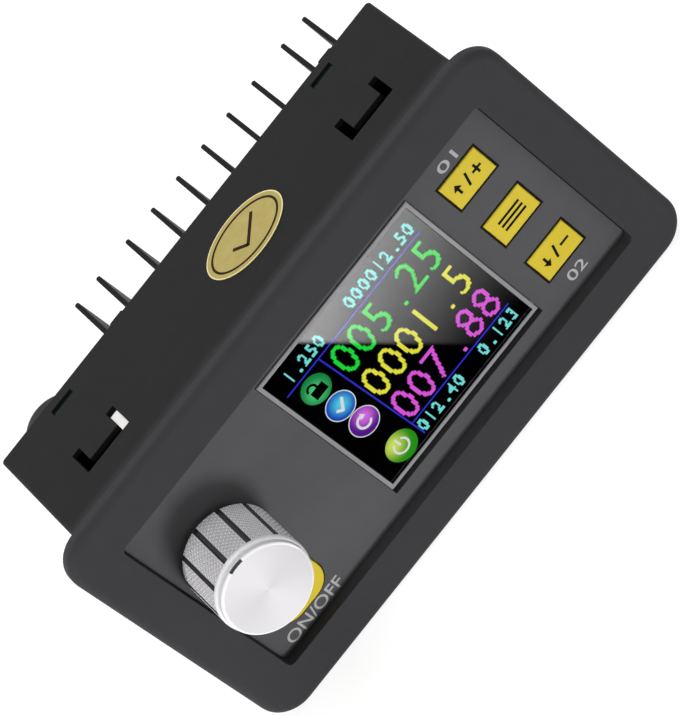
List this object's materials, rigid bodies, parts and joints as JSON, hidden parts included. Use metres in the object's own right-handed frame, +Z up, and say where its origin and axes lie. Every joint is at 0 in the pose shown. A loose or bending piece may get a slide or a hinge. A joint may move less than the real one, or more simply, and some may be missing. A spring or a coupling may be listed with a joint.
{
  "type": "buck converter module",
  "caption": "Panel-mounted step-down power module with a colour display, yellow keys, an aluminium rotary knob and a finned heatsink behind a snap-in case.",
  "frame": {"origin": "centre of the bounding box in X and Y, at the lowest edge of the bezel", "axes": "+X to the right seen from the front, +Y rearwards from the bezel, +Z up"},
  "size_m": [0.079, 0.044, 0.043],
  "materials": {
    "case_black": "fine matt moulded ABS",
    "panel_grey": "matt printed panel",
    "display_rim": "satin grey rim",
    "glass": "polished",
    "cell_black": "glossy display cell",
    "white_plastic": "white nylon",
    "key_yellow": "satin yellow",
    "black_plastic": "black engineering plastic",
    "turned_aluminium": "knurled and spun",
    "black_aluminium": "black anodised",
    "steel": "zinc plated",
    "brass_tin": "tinned brass",
    "board_green": "solder mask",
    "pad_grey": "soft silicone",
    "ferrite": "coated iron powder",
    "copper": "enamelled copper",
    "can_sleeve": "shrunk sleeve",
    "terminal_green": "moulded nylon",
    "sticker_gold": "metallic foil paper"
  },
  "bodies": {
    "module": {"case": "case_black", "front_panel": "panel_grey", "display_bezel": "display_rim", "display_glass": "glass", "lcd_cell": "cell_black", "lcd_backlight": "white_plastic", "lcd_holder": "white_plastic", "side_socket": "white_plastic", "encoder_body": "black_plastic", "link_header": "black_plastic", "link_socket": "black_plastic", "mcu_chip": "black_plastic", "transistor_high": "black_plastic", "transistor_low": "black_plastic", "switch_up": "black_plastic", "switch_set": "black_plastic", "switch_down": "black_plastic", "switch_output": "black_plastic", "heatsink": "black_aluminium", "encoder_bushing": "steel", "heatsink_screws": "steel", "terminal_screws": "steel", "link_pins": "brass_tin", "side_socket_pins": "brass_tin", "terminal_clamps": "brass_tin", "front_board": "board_green", "power_board": "board_green", "thermal_pad": "pad_grey", "inductor_core": "ferrite", "inductor_winding": "copper", "capacitor_input": "can_sleeve", "capacitor_output": "can_sleeve", "terminal_block": "terminal_green", "sticker": "sticker_gold"},
    "knob_push": {"encoder_actuator": "black_plastic"},
    "knob": {"knob_shell": "turned_aluminium", "knob_core": "black_plastic", "encoder_shaft": "steel"},
    "key_up": {"key_up": "key_yellow", "plunger_up": "black_plastic"},
    "key_set": {"key_set": "key_yellow", "plunger_set": "black_plastic"},
    "key_down": {"key_down": "key_yellow", "plunger_down": "black_plastic"},
    "key_output": {"key_output": "key_yellow", "plunger_output": "black_plastic"}
  },
  "joints": [
    {"name": "knob_press", "type": "slide", "parent": "module", "child": "knob_push", "axis": [0, 1, 0], "range_m": [0, 0.0005], "stiffness_N_per_m": 600},
    {"name": "knob_turn", "type": "hinge", "parent": "knob_push", "child": "knob", "pos_m": [-0.026, -0.01303, 0.0237], "axis": [0, 1, 0], "continuous": true},
    {"name": "key_up_press", "type": "slide", "parent": "module", "child": "key_up", "axis": [0, 1, 0], "range_m": [0, 0.0003], "stiffness_N_per_m": 400},
    {"name": "key_set_press", "type": "slide", "parent": "module", "child": "key_set", "axis": [0, 1, 0], "range_m": [0, 0.0003], "stiffness_N_per_m": 400},
    {"name": "key_down_press", "type": "slide", "parent": "module", "child": "key_down", "axis": [0, 1, 0], "range_m": [0, 0.0003], "stiffness_N_per_m": 400},
    {"name": "key_output_press", "type": "slide", "parent": "module", "child": "key_output", "axis": [0, 1, 0], "range_m": [0, 0.0003], "stiffness_N_per_m": 400}
  ]
}
